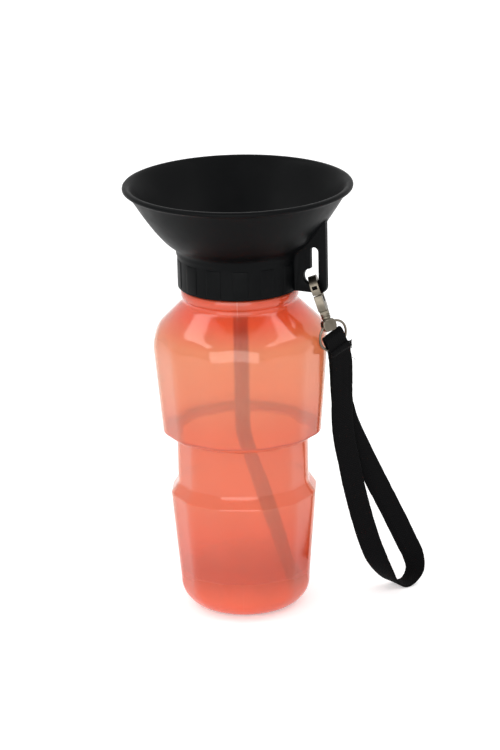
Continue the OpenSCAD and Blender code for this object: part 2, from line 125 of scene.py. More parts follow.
def extrude(step=(0, 0, 0)):
    """In edit mode, extrudes what is selected by a step in metres."""
    bpy.ops.mesh.extrude_region_move(TRANSFORM_OT_translate={"value": step})


def middle(edge):
    """The middle of an edge."""
    return (edge.verts[0].co + edge.verts[1].co) / 2


def turn(angle, axis, about=(0, 0, 0)):
    """Turns what is selected by degrees, right-handed, about a line through a place in metres."""
    bpy.ops.transform.rotate(value=-math.radians(angle), orient_axis=axis, orient_type="GLOBAL",
                             center_override=about)


def chain(name, places):
    """Starts a piece as a chain of vertices, each extruded from the one before."""
    begin()
    bpy.ops.mesh.primitive_plane_add(size=MM, location=[c * MM for c in places[0]])
    piece = bpy.context.object
    piece.name = piece.data.name = name
    bpy.ops.object.transform_apply(location=True, rotation=False, scale=False)
    bpy.ops.object.mode_set(mode="EDIT")
    bpy.ops.mesh.select_mode(type="VERT")
    take_all()
    bpy.ops.mesh.merge(type="CENTER")
    for a, b in zip(places, places[1:]):
        extrude([(q - p) * MM for p, q in zip(a, b)])
    take_all()
    bpy.ops.mesh.remove_doubles(threshold=1e-6)
    return piece


def close_up():
    """Merges what touches and turns every face outwards."""
    take_all()
    bpy.ops.mesh.remove_doubles(threshold=2e-6)
    bpy.ops.mesh.normals_make_consistent(inside=False)


def lathe(name, outline, steps, turned=0):
    """Turns an outline of (radius, height) once round the axis, starting at turned degrees."""
    c, s = math.cos(math.radians(turned)), math.sin(math.radians(turned))
    piece = chain(name, [(r * c, r * s, z) for r, z in outline])
    take_all()
    bpy.ops.mesh.spin(steps=steps, angle=2 * math.pi, center=(0, 0, 0), axis=(0, 0, 1))
    close_up()
    return piece


def plate(name, outline, thickness, across=(1, 0, 0), up=(0, 0, 1)):
    """Extrudes a closed outline drawn as (across, up), half its thickness to each side."""
    across, up = Vector(across), Vector(up)
    through = across.cross(up)
    places = [a * across + b * up - through * thickness / 2 for a, b in outline]
    piece = chain(name, places + places[:1])
    take_all()
    bpy.ops.mesh.edge_face_add()
    extrude(through * thickness * MM)
    close_up()
    bpy.ops.object.mode_set(mode="OBJECT")
    return piece


def rod(name, radius, foot, head, sides=24):
    """A closed round bar between two places, for cutting or for building on."""
    foot, head = Vector(foot), Vector(head)
    begin()
    bpy.ops.mesh.primitive_cylinder_add(
        vertices=sides, radius=radius * MM, depth=(head - foot).length * MM,
        location=(foot + head) / 2 * MM,
        rotation=(head - foot).to_track_quat("Z", "Y").to_euler())
    piece = bpy.context.object
    piece.name = piece.data.name = name
    bpy.ops.object.transform_apply(location=True, rotation=True, scale=True)
    return piece


def put(piece, matrix):
    """Moves a piece by a matrix and applies its place to its mesh."""
    hold(piece)
    piece.matrix_world = matrix
    bpy.ops.object.transform_apply(location=True, rotation=True, scale=True)


def modify(piece, kind, **settings):
    """Adds a modifier and applies it."""
    hold(piece)
    modifier = piece.modifiers.new(kind.title(), kind)
    for name, value in settings.items():
        setattr(modifier, name, value)
    bpy.ops.object.modifier_apply(modifier=modifier.name)


def combine(piece, other, operation):
    """Cuts another piece away or joins it on, and clears it."""
    modify(piece, "BOOLEAN", operation=operation, object=other, solver="EXACT")
    mesh = other.data
    bpy.data.objects.remove(other)
    bpy.data.meshes.remove(mesh)


def soften(piece, width, segments=2, angle=30):
    """Rounds every edge that is sharper than an angle."""
    modify(piece, "BEVEL", width=width * MM, segments=segments, limit_method="ANGLE",
           angle_limit=math.radians(angle), use_clamp_overlap=True, harden_normals=False)


def settle(piece, body, material, stands_for=(), angle=40):
    """Smooths a finished piece, gives it its material, and puts it on the body that carries it."""
    hold(piece)
    bpy.ops.object.shade_smooth_by_angle(angle=math.radians(angle))
    piece.data.materials.clear()
    piece.data.materials.append(material)
    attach(piece, body)
    if stands_for:
        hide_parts(*stands_for)


def arc(cx, cy, r, a0, a1, steps):
    """Places along an arc, from one angle to another in degrees."""
    angles = [math.radians(a0 + (a1 - a0) * i / steps) for i in range(steps + 1)]
    return [(cx + r * math.cos(a), cy + r * math.sin(a)) for a in angles]


# ---- materials ----

def add_node(tree, kind, inputs=None, stops=None, feeds=None, **settings):
    """Adds a node: inputs are values, sockets or nodes that give their first output, stops are
    a ramp's places and colours, and feeds is the socket that the node's first output goes to."""
    node = tree.nodes.new(kind)
    for name, value in settings.items():
        setattr(node, name, value)
    if stops:
        stops = [(at, to_linear(c) if isinstance(c, str) else c) for at, c in stops]
        elements = node.color_ramp.elements
        elements.remove(elements[1])
        elements[0].position, elements[0].color = stops[0]
        for position, colour in stops[1:]:
            elements.new(position).color = colour
    for name, value in (inputs or {}).items():
        if isinstance(value, bpy.types.Node):
            value = value.outputs[0]
        if isinstance(value, bpy.types.NodeSocket):
            tree.links.new(value, node.inputs[name])
        else:
            node.inputs[name].default_value = value
    if feeds is not None:
        tree.links.new(node.outputs[0], feeds)
    return node


def seen_through(tree):
    """One for the rays that show a background: to the lens, through glass and off metal."""
    rays = add_node(tree, "ShaderNodeLightPath").outputs
    straight = add_node(tree, "ShaderNodeMath", {
        0: rays["Is Camera Ray"], 1: rays["Is Transmission Ray"]}, operation="MAXIMUM")
    return add_node(tree, "ShaderNodeMath", {0: straight, 1: rays["Is Glossy Ray"]},
                    operation="MAXIMUM")


def new_material(name, finish):
    """A material of one Principled shader with these plain values, with its tree and shader."""
    material = bpy.data.materials.new(name)
    material.use_nodes = True
    shader = material.node_tree.nodes["Principled BSDF"]
    for socket, value in finish.items():
        shader.inputs[socket].default_value = value
    return material, material.node_tree, shader


def frosted_ldpe(colours):
    """Blow-moulded low-density polyethylene, tinted coral and left matt by the mould."""
    # most of the light goes through a little blurred, so the tube shows as a soft dark line
    material, tree, shader = new_material("frosted coral LDPE", {
        "IOR": 1.51, "Roughness": 0.1})
    place = add_node(tree, "ShaderNodeTexCoord").outputs["Object"]
    height = add_node(tree, "ShaderNodeSeparateXYZ", {0: place}).outputs["Z"]
    # stops below are shares of the 180 mm from the foot to the collar
    share = add_node(tree, "ShaderNodeMapRange",
                     {"Value": height, "From Min": 0.0, "From Max": 0.18})
    # deepest at the foot, the ledge and the neck, and palest where the wall is blown widest: partly
    # the wall's thickness and partly painted light, the deeper tint towards the foot being painted
    # glow of the light inside the bottle and the narrow deep band at the ledge a painted line of
    # light at the step
    tint = add_node(tree, "ShaderNodeValToRGB", {"Fac": share}, stops=[
        (0.0, "F36040"), (0.12, "F37450"), (0.36, colours.coral), (0.535, colours.coral),
        (0.545, colours.deep_coral), (0.556, colours.deep_coral), (0.57, colours.coral),
        (0.7, colours.pale_coral), (0.86, colours.pale_coral), (0.93, colours.deep_coral),
        (0.98, "E25D3A")])
    # and where it is thick it is cloudier, so less light goes straight through
    through = add_node(tree, "ShaderNodeValToRGB", {"Fac": share}, stops=[
        (0.0, "606060"), (0.16, "DFDFDF"), (0.537, "DFDFDF"), (0.546, "808080"),
        (0.553, "808080"), (0.562, "DFDFDF"), (0.6, "E9E9E9"), (0.92, "E9E9E9"),
        (0.98, "B8B8B8")], feeds=shader.inputs["Transmission Weight"])
    through.color_ramp.interpolation = "EASE"
    # the wall's thickness wanders by a tenth over about 25 mm
    cloud = add_node(tree, "ShaderNodeTexNoise",
                     {"Vector": place, "Scale": 40.0, "Detail": 2.0, "Roughness": 0.5})
    # and fine flow lines run down it, about 1.5 mm apart round the wall
    mapped = add_node(tree, "ShaderNodeMapping", {"Vector": place, "Scale": (1.0, 1.0, 0.02)})
    flow = add_node(tree, "ShaderNodeTexNoise",
                    {"Vector": mapped, "Scale": 900.0, "Detail": 2.0})
    both = add_node(tree, "ShaderNodeMix", {0: 0.3, 2: cloud, 3: flow})
    shade = add_node(tree, "ShaderNodeMapRange",
                     {"Value": both, "To Min": 0.93, "To Max": 1.06})
    shades = add_node(tree, "ShaderNodeCombineXYZ", {0: shade, 1: shade, 2: shade})
    tint = add_node(tree, "ShaderNodeVectorMath", {0: tint, 1: shades}, operation="MULTIPLY")
    # the mould's parting line, 0.4 mm wide, runs up the middle of two flats: the seam itself is
    # real and raised in the bump, while its pale colour is a painted highlight, plainest at the top
    # where it catches the light
    seam_turn = math.radians(CORNER_TURN + 3.5 * PITCH)
    aside = add_node(tree, "ShaderNodeVectorMath", {
        0: place, 1: (-math.sin(seam_turn), math.cos(seam_turn), 0)}, operation="DOT_PRODUCT")
    aside = add_node(tree, "ShaderNodeMath", {0: aside.outputs["Value"]}, operation="ABSOLUTE")
    seam = add_node(tree, "ShaderNodeMapRange", {
        "Value": aside, "From Min": 0.0001, "From Max": 0.0003, "To Min": 1.0,
        "To Max": 0.0}, interpolation_type="SMOOTHSTEP")
    # the pale line's strength grows with height: painted highlight
    highlight_by_height = add_node(tree, "ShaderNodeMapRange", {
        "Value": height, "From Min": 0.09, "From Max": 0.125, "To Min": 0.03, "To Max": 0.2})
    painted_highlight = add_node(tree, "ShaderNodeMath", {0: seam, 1: highlight_by_height}, operation="MULTIPLY")
    tint = add_node(tree, "ShaderNodeMix", {0: painted_highlight, 6: tint, 7: colours.seam}, data_type="RGBA")
    tree.links.new(tint.outputs[2], shader.inputs["Base Color"])
    # the mould's sand-blasted face, 0.35 mm grain, drawn shallow
    grain = add_node(tree, "ShaderNodeTexNoise",
                     {"Vector": place, "Scale": 2800.0, "Detail": 2.0})
    relief = add_node(tree, "ShaderNodeMath", {0: seam, 1: grain}, operation="ADD")
    add_node(tree, "ShaderNodeBump", {"Height": relief, "Strength": 0.02, "Distance": 0.0001},
             feeds=shader.inputs["Normal"])
    return material


def moulded_pp(colours):
    """Injection-moulded polypropylene, black, with a fine spark-eroded face."""
    material, tree, shader = new_material("moulded black polypropylene", {
        "IOR": 1.49, "Roughness": 0.42, "Specular IOR Level": 0.06})
    place = add_node(tree, "ShaderNodeTexCoord").outputs["Object"]
    # scuffs and finger grease change the gloss over about 12 mm
    smear = add_node(tree, "ShaderNodeTexNoise",
                     {"Vector": place, "Scale": 80.0, "Detail": 4.0, "Roughness": 0.6})
    add_node(tree, "ShaderNodeMapRange", {
        "Value": smear, "From Min": 0.3, "From Max": 0.7, "To Min": 0.36, "To Max": 0.48},
        feeds=shader.inputs["Roughness"])
    add_node(tree, "ShaderNodeValToRGB", {"Fac": smear}, stops=[
        (0.3, colours.plastic_black), (0.75, "090A0B")], feeds=shader.inputs["Base Color"])
    # spark erosion leaves pits about 0.3 mm across
    pits = add_node(tree, "ShaderNodeTexNoise",
                    {"Vector": place, "Scale": 3200.0, "Detail": 3.0})
    add_node(tree, "ShaderNodeBump", {"Height": pits, "Strength": 0.25, "Distance": 0.00008},
             feeds=shader.inputs["Normal"])
    return material


def tube_pe_painted_shade(colours):
    """Extruded polyethylene with a satin skin; its dark red-brown is painted shade, the dark streak
    that the tube makes inside the bottle.
    """
    material, tree, shader = new_material("extruded polyethylene painted dark for shade", {
        "IOR": 1.51, "Roughness": 0.45, "Specular IOR Level": 0.05})
    place = add_node(tree, "ShaderNodeTexCoord").outputs["Object"]
    # draw lines run along the tube, about 1 mm apart round it
    mapped = add_node(tree, "ShaderNodeMapping",
                      {"Vector": place, "Scale": (900.0, 900.0, 12.0)})
    lines = add_node(tree, "ShaderNodeTexNoise",
                     {"Vector": mapped, "Scale": 1.0, "Detail": 2.0})
    # the dark red-brown is painted shade; the lighter draw lines vary it
    add_node(tree, "ShaderNodeValToRGB", {"Fac": lines}, stops=[
        (0.3, colours.tube), (0.7, colours.tube_light)], feeds=shader.inputs["Base Color"])
    add_node(tree, "ShaderNodeBump", {"Height": lines, "Strength": 0.2, "Distance": 0.0001},
             feeds=shader.inputs["Normal"])
    return material


def silicone_rubber(colours):
    """Moulded silicone seal: white, soft and matt, with a little dust on it."""
    material, tree, shader = new_material("moulded silicone rubber", {
        "IOR": 1.41, "Roughness": 0.6, "Subsurface Weight": 0.1})
    place = add_node(tree, "ShaderNodeTexCoord").outputs["Object"]
    # specks of lint about 1 mm apart
    lint = add_node(tree, "ShaderNodeTexVoronoi", {"Vector": place, "Scale": 900.0})
    add_node(tree, "ShaderNodeValToRGB", {"Fac": lint}, stops=[
        (0.0, "B9B6AE"), (0.12, colours.seal_white)], feeds=shader.inputs["Base Color"])
    add_node(tree, "ShaderNodeBump", {"Height": lint, "Strength": 0.1, "Distance": 0.0001},
             feeds=shader.inputs["Normal"])
    return material


def nickel_plate(colours, name, tarnish):
    """Nickel plating on zinc or steel: warm grey, bright, clouded by handling."""
    material, tree, shader = new_material(name, {"Metallic": 1.0, "Roughness": 0.34})
    place = add_node(tree, "ShaderNodeTexCoord").outputs["Object"]
    # clouds of handling about 2.5 mm across
    cloud = add_node(tree, "ShaderNodeTexNoise",
                     {"Vector": place, "Scale": 400.0, "Detail": 5.0, "Roughness": 0.6})
    add_node(tree, "ShaderNodeValToRGB", {"Fac": cloud}, stops=[
        (0.3, tarnish), (0.65, colours.nickel)], feeds=shader.inputs["Base Color"])
    add_node(tree, "ShaderNodeMapRange", {
        "Value": cloud, "From Min": 0.3, "From Max": 0.7, "To Min": 0.4, "To Max": 0.3},
        feeds=shader.inputs["Roughness"])
    # tumbling before plating leaves shallow waves about 2 mm long
    wave = add_node(tree, "ShaderNodeTexNoise",
                    {"Vector": place, "Scale": 500.0, "Detail": 1.0})
    add_node(tree, "ShaderNodeBump", {"Height": wave, "Strength": 0.04, "Distance": 0.00005},
             feeds=shader.inputs["Normal"])
    return material


def woven_webbing(colours):
    """Black polyester webbing in a plain rib weave, matt, with a faint sheen."""
    material, tree, shader = new_material("woven black polyester webbing", {
        "IOR": 1.45, "Roughness": 0.9, "Sheen Weight": 0.02, "Sheen Roughness": 0.5,
        "Specular IOR Level": 0.09})
    # the map's units are millimetres: U across the webbing, V along it
    place = add_node(tree, "ShaderNodeTexCoord").outputs["UV"]
    parts = add_node(tree, "ShaderNodeSeparateXYZ", {0: place}).outputs
    # ribs 0.75 mm apart along the webbing, each warp end 0.9 mm wide and half a rib out of step
    row = add_node(tree, "ShaderNodeMath", {0: parts["Y"], 1: 2 * math.pi / 1.5},
                   operation="MULTIPLY")
    end = add_node(tree, "ShaderNodeMath", {0: parts["X"], 1: 2 * math.pi / 1.8},
                   operation="MULTIPLY")
    weft = add_node(tree, "ShaderNodeMath", {0: row}, operation="SINE")
    warp = add_node(tree, "ShaderNodeMath", {0: end}, operation="SINE")
    weave = add_node(tree, "ShaderNodeMath", {0: weft, 1: warp}, operation="MULTIPLY")
    fuzz = add_node(tree, "ShaderNodeTexNoise",
                    {"Vector": place, "Scale": 2.2, "Detail": 4.0, "Roughness": 0.7})
    height = add_node(tree, "ShaderNodeMath", {0: weave, 1: fuzz}, operation="ADD")
    # the colour follows the weave's height: its hollows darkened by painted shade and its ribs
    # lightened by painted highlight, with random fuzz
    depth = add_node(tree, "ShaderNodeMapRange",
                     {"Value": height, "From Min": -0.6, "From Max": 1.6})
    add_node(tree, "ShaderNodeValToRGB", {"Fac": depth}, stops=[
        (0.0, "020202"), (0.55, colours.webbing), (1.0, "0A0A0B")],
        feeds=shader.inputs["Base Color"])
    add_node(tree, "ShaderNodeBump", {"Height": height, "Strength": 0.5, "Distance": 0.0002},
             feeds=shader.inputs["Normal"])
    return material


def webbing_fibre(colours):
    """Loose black polyester fibres, matt, brownish where the light comes through them."""
    material, tree, shader = new_material("loose black polyester fibre", {
        "IOR": 1.45, "Roughness": 0.85, "Specular IOR Level": 0.1})
    place = add_node(tree, "ShaderNodeTexCoord").outputs["Object"]
    # brownish patches about 2 mm across: painted light coming through the fibres
    painted_glow_patches = add_node(tree, "ShaderNodeTexNoise",
                      {"Vector": place, "Scale": 500.0, "Detail": 2.0})
    add_node(tree, "ShaderNodeValToRGB", {"Fac": painted_glow_patches}, stops=[
        (0.3, colours.webbing), (0.7, "141110")], feeds=shader.inputs["Base Color"])
    return material


def twisted_thread(colours):
    """Polyester sewing thread, charcoal, two plies twisted together."""
    material, tree, shader = new_material("twisted charcoal thread", {
        "IOR": 1.45, "Roughness": 0.7, "Sheen Weight": 0.2})
    place = add_node(tree, "ShaderNodeTexCoord").outputs["Object"]
    # a ply shows every 0.5 mm
    ply = add_node(tree, "ShaderNodeTexWave", {"Vector": place, "Scale": 620.0, "Distortion": 1.5},
                   bands_direction="DIAGONAL").outputs["Fac"]
    add_node(tree, "ShaderNodeValToRGB", {"Fac": ply}, stops=[
        (0.0, "0E0E10"), (1.0, colours.thread)], feeds=shader.inputs["Base Color"])
    add_node(tree, "ShaderNodeBump", {"Height": ply, "Strength": 0.4, "Distance": 0.0001},
             feeds=shader.inputs["Normal"])
    return material


# ---- sizes and colours that a user would change ----

class TravelBottleColours(bpy.types.PropertyGroup):
    """Colours of the bottle's materials."""
    coral: colour_of("Coral", "F69872", "Tint of the bottle's wall")
    # deep and pale coral are partly the wall's own tint and partly painted light: glow inside the
    # bottle, and the line at the ledge
    deep_coral: colour_of("Deep coral", "F87653", "Tint where the bottle's wall is thick")
    pale_coral: colour_of("Pale coral", "F3B08A", "Tint where the bottle's wall is thin")
    # the seam's pale colour is a painted highlight on the parting line
    seam: colour_of("Seam", "FFD9C6", "Parting line of the bottle's mould")
    plastic_black: colour_of("Plastic black", "050607", "Bowl, collar and tab")
    # the tube's two colours are painted shade: the dark streak that it makes inside the bottle
    tube: colour_of("Tube", "A01A0C", "Dip tube in its draw lines")
    tube_light: colour_of("Tube, light", "B82814", "Dip tube between its draw lines")
    seal_white: colour_of("Seal white", "E2E0D9", "Silicone seal in the mouth")
    nickel: colour_of("Nickel", "726B60", "Plating of the hook and the ring")
    webbing: colour_of("Webbing", "070708", "Wrist strap")
    thread: colour_of("Thread", "1C1C1E", "Stitches of the sewn end")


class TravelBottleSizes(bpy.types.PropertyGroup):
    """Sizes that change the looks and not the construction."""
    wall: FloatProperty(name="Bottle wall", description="Thickness of the bottle's wall",
                        default=1.2 * MM, min=0.6 * MM, max=1.2 * MM, unit="LENGTH")
    flat_press: FloatProperty(name="Flat depth", description="A flat's distance from the axis, "
                              "as a share of the corners' radius", default=0.9745,
                              min=0.966, max=0.99, subtype="FACTOR")
    edge: FloatProperty(name="Edge rounding", description="Rounding of the tab's edges",
                        default=0.35 * MM, min=0.1 * MM, max=0.8 * MM, unit="LENGTH")
    fillet: FloatProperty(name="Tab fillet", description="Fillet where the tab meets the bowl",
                          default=2.4 * MM, min=1 * MM, max=3 * MM, unit="LENGTH")


# ---- the bottle ----

def press_flats(low, high, share, depth=1.0):
    """In edit mode, presses the barrel in between its corners, from one height to another."""
    half, column_step, corner_blunting, outside_r = PITCH / 2, 3, 0.0045, 30

    def off_middle(vertex):
        turned = math.degrees(math.atan2(vertex.co.y, vertex.co.x)) - CORNER_TURN
        return abs(turned % PITCH - half)

    for column in range(0, PITCH // 2 + 1, column_step):
        # the corners are blunted over the outer half of each flat
        blunt = corner_blunting * max(0, (column - half / 2) / (half / 2)) ** 2
        scale = 1 - (1 - min(1, share / math.cos(math.radians(column))) + blunt) * depth
        pick("VERT", lambda v: low * MM < v.co.z < high * MM
             and v.co.xy.length > outside_r * MM and abs(off_middle(v) - column) < 1)
        bpy.ops.transform.resize(value=(scale, scale, 1), center_override=(0, 0, 0))


def thread_ridge(name, foot_r, crest_r, foot_z):
    """A helical ridge, its back sunk in the wall, and its crest sunk too at each end."""
    sink, foot_half, crest_half = 0.4, 1.26, 0.6
    back = foot_r + (sink if foot_r > crest_r else -sink)
    piece = chain(name, [(back, 0, foot_z - foot_half), (crest_r, 0, foot_z - crest_half),
                         (crest_r, 0, foot_z + crest_half), (back, 0, foot_z + foot_half),
                         (back, 0, foot_z - foot_half)])
    steps = THREAD_TURN // THREAD_STEP
    modify(piece, "SCREW", angle=math.radians(THREAD_TURN), screw_offset=THREAD_RISE * MM,
           steps=steps, render_steps=steps, use_merge_vertices=False)
    edit(piece)
    bpy.ops.mesh.select_mode(type="EDGE")
    take_all()
    bpy.ops.mesh.region_to_loop()
    bpy.ops.mesh.fill_holes(sides=0)
    # the crest runs out over the first and last four steps
    sunk = (back + foot_r) / 2
    for end in (0, 1):
        for i, share in enumerate((0.0, 0.25, 0.5, 0.75)):
            a = THREAD_STEP * i if end == 0 else THREAD_TURN - THREAD_STEP * i
            way = Vector((math.cos(math.radians(a)), math.sin(math.radians(a))))
            z = foot_z + THREAD_RISE * a / THREAD_TURN
            pick("VERT", lambda v: abs(v.co.z / MM - z) < 0.9
                 and (v.co.xy.normalized() - way).length < 0.02
                 and abs(v.co.xy.length / MM - crest_r) < 0.05)
            scale = (sunk + (crest_r - sunk) * share) / crest_r
            bpy.ops.transform.resize(value=(scale, scale, 1), center_override=(0, 0, z * MM))
    close_up()
    bpy.ops.object.mode_set(mode="OBJECT")
    return piece


class TRAVELBOTTLE_OT_bottle(bpy.types.Operator):
    """Models the squeeze bottle: turned, pressed into flats, hollowed and threaded"""
    bl_idname = "travelbottle.bottle"
    bl_label = "Squeeze bottle"

    def execute(self, context):
        colours, sizes = context.scene.travelbottle_colours, context.scene.travelbottle_sizes
        foot = [(0, 0.8), (4, 0.8), (8, 0.8), (12.2, 0.8), (13.4, 0.45), (14.2, 0.05), (15, 0)]
        heel = arc(19.6, 16, 16, -90, -4, 14)
        lower_barrel = [
            (35.65, 17), (36.45, 26), (37.35, 36), (38.2, 46), (38.9, 54), (39.45, 61),
            (39.68, 64), (39.78, 65), (39.75, 65.6), (39.5, 66.1), (39.15, 66.6)]
        waist = [(38.1, 68.2), (37, 69.9), (36.45, 70.8), (36.15, 71.4), (35.95, 72.2),
                 (35.9, 73.2), (35.9, 78), (35.9, 84), (35.9, 90), (35.9, 95.4), (35.95, 96.6),
                 (36.2, 97.4), (36.9, 98.0)]
        ledge = [(38.2, 98.5), (40.2, 99.1), (41.9, 99.6), (42.65, 99.95), (43.1, 100.5),
                 (43.3, 101.2)]
        upper_barrel = [(43.4, 102.4), (43.8, 107), (44.4, 113.5), (45.0, 120), (45.6, 127),
                        (46.2, 134), (46.75, 140.5), (47.15, 145)]
        shoulder = (arc(31.3, 148, 16, 0, 36, 9) + arc(31.3, 148, 16, 40, 45, 1)
                    + [(40.6, 161.3), (37.4, 164.5), (34.6, 167.3), (32.9, 169), (32.0, 169.9),
                       (31.2, 170.7), (30.6, 171.5), (30.3, 172.3)])
        neck = [(30.3, 173.3), (30.7, 173.8), (31.0, 174.2), (31.3, 174.7), (31.3, 178.5),
                (31.0, 178.9), (30.6, 179.1), (29.1, 179.1)]
        mouth = [(28.6, 179.5), (28.6, 185), (28.6, 191), (28.6, 196.2), (28.2, 196.8),
                 (27.9, MOUTH_TOP)]
        outline = (foot + heel + lower_barrel + waist + ledge + upper_barrel + shoulder + neck
                   + mouth)
        bottle = lathe("bottle", outline, 120, CORNER_TURN)
        share = sizes.flat_press
        # the flats fade out in the heel
        for low, high, depth in ((6, 8.5, 0.2), (8.5, 11, 0.5), (11, 14, 0.8)):
            press_flats(low, high, share, depth)
        press_flats(14, 97, share)
        press_flats(99.3, 149.5, share)
        # and over the shoulder
        for low, high, depth in ((149.5, 152, 0.85), (152, 154.2, 0.7), (154.2, 156, 0.5),
                                 (156, 157.8, 0.3), (157.8, 158.8, 0.12)):
            press_flats(low, high, share, depth)
        modify(bottle, "SOLIDIFY", thickness=sizes.wall, offset=-1, use_even_offset=False)
        ridge = thread_ridge("bottle_thread", 28.6, 30.2, 183.93)
        hold(bottle, ridge)
        bpy.ops.object.join()
        settle(bottle, "bottle", frosted_ldpe(colours), ("squeeze_bottle",), 50)
        return {"FINISHED"}


# ---- the bowl, its collar and its tab ----

def widen(outer_r, inner_r):
    """In edit mode, pulls new faces out from the axis: their radius grows in this ratio."""
    scale = outer_r / inner_r
    bpy.ops.transform.resize(value=(scale, scale, 1), center_override=(0, 0, 0))


class TRAVELBOTTLE_OT_bowl(bpy.types.Operator):
    """Models the drinking bowl with its gripped collar and the tab with its keyhole"""
    bl_idname = "travelbottle.bowl"
    bl_label = "Drinking bowl"

    tab_t = 3.2
    collar = [(32.4, COLLAR_FOOT), (COLLAR_R, 180.13), (COLLAR_R, 181.13), (COLLAR_R, 186),
              (COLLAR_R, 191), (COLLAR_R, 195.63), (32.85, 196.6), (33.2, 197.6), (33.4, 198.6),
              (33.45, 199.6)]
    flare = [(33.9, 200.8), (34.9, 201.9), (36.6, 203.3), (38.5, 204.8), (40.6, 206.9),
             (43, 209.7), (45.4, 212.6), (47.8, 215.9), (50.2, 219.4), (52.5, 222.9),
             (54.7, 226.4), (56.5, 229.2), (57.6, 230.9), (58.2, 231.8)]
    rim = [(58.8, 232.3), (59.6, 232.5), (60.4, 232.7), (60.85, 233.1), (61, 233.7),
           (60.85, 234.4), (60.4, 234.95), (59.6, 235.2), (58.6, 235.15), (57.8, 234.7),
           (57.0, 233.9)]
    hollow = [(56.0, 232.5), (54.8, 230.6), (52.8, 227.4), (50.6, 223.9), (48.3, 220.4),
              (45.9, 217.1), (43.5, 214.0), (41.0, 211.1), (38.4, 208.4), (35.6, 205.9),
              (33.2, 203.9), (30.4, 202.2), (27.4, 201.2), (24, 200.8), (18, 200.65),
              (12, 200.45), (6.5, 200.25), (4.2, 200.1), (3.3, 199.8), (3.0, 199.2)]
    tube_boss = [(3, 196.6), (4, 196.5), (4, 172.9), (4.4, 172.53), (4.8, 172.9), (4.8, 198.53)]
    seal_seat = [(12, 198.53), (19, 198.53), (25.3, 198.53), (25.3, 196.5), (25.6, 196.13),
                 (26.4, 196.13), (26.7, 196.5), (26.7, 198.53), (29.7, 198.53)]
    collar_inside = [(30.7, 197.6), (30.7, 190), (30.7, 184), (30.7, 180.2),
                     (31.1, COLLAR_FOOT)]

    def grips(self):
        """Fourteen pads, pulled out of the collar and rounded."""
        pitch, half_pad, pad_r = 2 * math.pi / 14, 0.278, COLLAR_R + 0.25

        def on_pad(face):
            place = face.calc_center_median()
            angle = math.atan2(place.y, place.x) % pitch
            return (181.1 < place.z / MM < 195.7 and abs(place.xy.length / MM - COLLAR_R) < 0.2
                    and abs(angle - pitch / 2) < pitch * half_pad)

        pick("FACE", on_pad)
        extrude()
        widen(pad_r, COLLAR_R)
        pick("EDGE", lambda e: len(e.link_faces) == 2 and middle(e).xy.length / MM > pad_r - 0.08
             and 180 < middle(e).z / MM < 196 and e.calc_face_angle() > 0.6)
        bpy.ops.mesh.bevel(offset=0.24 * MM, segments=3, affect="EDGES", clamp_overlap=True)

    def tab(self, sizes):
        """The hanging tab: a plate under the bowl's flare with a keyhole through it."""
        under_flare = [(50.7, 221.2), (47.4, 216.9), (44.9, 213.3), (42.3, 210.1), (39.7, 207.1),
                       (37.2, 204.6), (34.6, 202.3), (32.4, 201.0), (31.5, 200.2)]
        outline = ([(31.5, COLLAR_FOOT + 0.15)]
                   + [(46.7, COLLAR_FOOT)] + arc(46.7, 183.73, 4, -75, 0, 6) + under_flare)
        tab = plate("tab", outline, self.tab_t)
        # the slot's left side meets the round part at its top
        keyhole = (arc(41.9, 188.33, 4.4, 92.6, 360, 34) + arc(44.0, 202.23, 2.3, 0, 180, 12))
        combine(tab, plate("keyhole", keyhole, 9), "DIFFERENCE")
        soften(tab, sizes.edge / MM, 3, 40)
        return tab

    def fillet(self, side, radius):
        """A hollow fillet of the tab's root, swept up the collar and out along the flare."""
        root = [(32.55, COLLAR_FOOT + 0.2), (32.6, 184), (32.6, 189), (32.6, 193), (32.7, 196),
                (33.0, 198), (33.3, 199.6), (34.0, 201.0), (35.4, 202.4), (37.2, 204.0),
                (39.2, 205.7), (41.5, 208.2), (44.0, 211.2), (46.4, 214.2), (48.6, 217.3),
                (50.2, 219.7)]
        section = ([(-0.5, -0.6), (-0.5, radius)] + arc(radius, radius, radius, 180, 270, 5)
                   + [(radius, -0.6)])
        rows = []
        for i, (x, z) in enumerate(root):
            before, after = root[max(i - 1, 0)], root[min(i + 1, len(root) - 1)]
            run = Vector((after[0] - before[0], 0, after[1] - before[1])).normalized()
            away = Vector((run.z, 0, -run.x))
            thin = min(1.0, 0.35 + 0.2 * i, 0.35 + 0.22 * (len(root) - 1 - i))
            rows.append([Vector((x, side * self.tab_t / 2, z)) + away * p * (thin if p > 0 else 1)
                         + Vector((0, side * q * (thin if q > 0 else 1), 0))
                         for p, q in section])
        piece = chain("fillet", rows[0] + rows[0][:1])
        take_all()
        bpy.ops.mesh.edge_face_add()
        for previous, row in zip(rows, rows[1:]):
            extrude()
            mesh = bmesh.from_edit_mesh(piece.data)
            for v in [v for v in mesh.verts if v.select]:
                near = min(range(len(previous)), key=lambda k: (previous[k] * MM - v.co).length)
                v.co = row[near] * MM
            bmesh.update_edit_mesh(piece.data)
        close_up()
        bpy.ops.object.mode_set(mode="OBJECT")
        return piece

    def execute(self, context):
        colours, sizes = context.scene.travelbottle_colours, context.scene.travelbottle_sizes
        bowl = lathe("bowl", self.collar + self.flare + self.rim + self.hollow + self.tube_boss
                     + self.seal_seat + self.collar_inside + self.collar[:1], 126)
        self.grips()
        close_up()
        tab = self.tab(sizes)
        for side in (-1, 1):
            combine(tab, self.fillet(side, sizes.fillet / MM), "UNION")
        combine(bowl, tab, "UNION")
        combine(bowl, thread_ridge("collar_thread", 30.7, 29.1, 180.93), "UNION")
        settle(bowl, "bowl", moulded_pp(colours), ("drinking_bowl",), 35)
        return {"FINISHED"}


